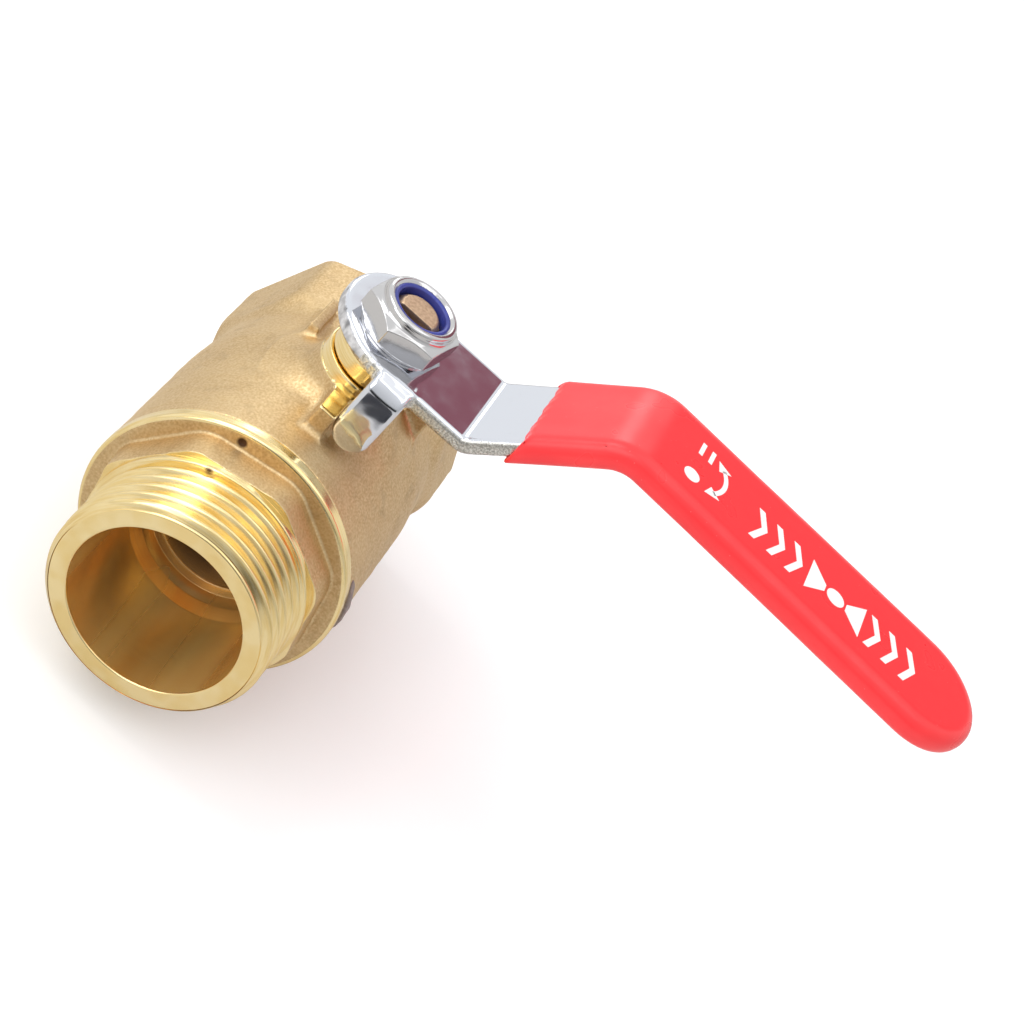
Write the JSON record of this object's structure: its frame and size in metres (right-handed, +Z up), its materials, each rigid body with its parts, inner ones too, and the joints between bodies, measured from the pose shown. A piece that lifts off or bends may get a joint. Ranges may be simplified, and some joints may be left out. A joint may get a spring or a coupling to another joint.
{
  "type": "ball valve",
  "caption": "Threaded brass ball valve, male by female ends, with a cranked steel lever in a dipped red sleeve that turns the ball a quarter turn.",
  "frame": {"origin": "centre of the male thread's end face", "axes": "+X along the flow axis, out of the male end; +Y along the lever in its closed rest position; +Z up the stem"},
  "size_m": [0.071, 0.1178, 0.0721],
  "materials": {
    "cast_brass": "shot-blasted casting, matt tan gold",
    "turned_brass": "turned, bright",
    "stem_brass": "turned, dull brown end face",
    "ball_chrome": "polished chrome plate",
    "ptfe": "white PTFE, waxy",
    "sealant": "cured anaerobic thread sealant",
    "black_rubber": "black rubber",
    "plated_steel": "bright nickel plate",
    "plated_nut": "bright zinc plate",
    "red_vinyl": "glossy dipped vinyl",
    "blue_nylon": "blue nylon"
  },
  "bodies": {
    "root": {"valve_body": "cast_brass", "end_connector": "turned_brass", "seat_ring_front": "ptfe", "seat_ring_rear": "ptfe", "body_joint_seal": "ptfe", "sealant_bead": "sealant", "thrust_washer": "ptfe", "packing_ring_lower": "ptfe", "packing_ring_middle": "ptfe", "packing_ring_upper": "ptfe", "gland_follower": "turned_brass", "gland_nut": "turned_brass"},
    "lever_group": {"stem": "stem_brass", "stem_o_ring": "black_rubber", "lever": "plated_steel", "grip_sleeve": "red_vinyl", "lock_nut": "plated_nut", "nylon_insert": "blue_nylon"},
    "ball": {"ball": "ball_chrome"}
  },
  "joints": [
    {"name": "lever_turn", "type": "hinge", "parent": "root", "child": "lever_group", "pos_m": [-0.04, 0, 0], "axis": [0, 0, 1], "range_deg": [0, 90]},
    {"name": "ball_turn", "type": "hinge", "parent": "root", "child": "ball", "pos_m": [-0.04, 0, 0], "axis": [0, 0, 1], "range_deg": [0, 90]}
  ],
  "couplings": [
    {"joint": "ball_turn", "follows": "lever_turn", "ratio": 1}
  ]
}
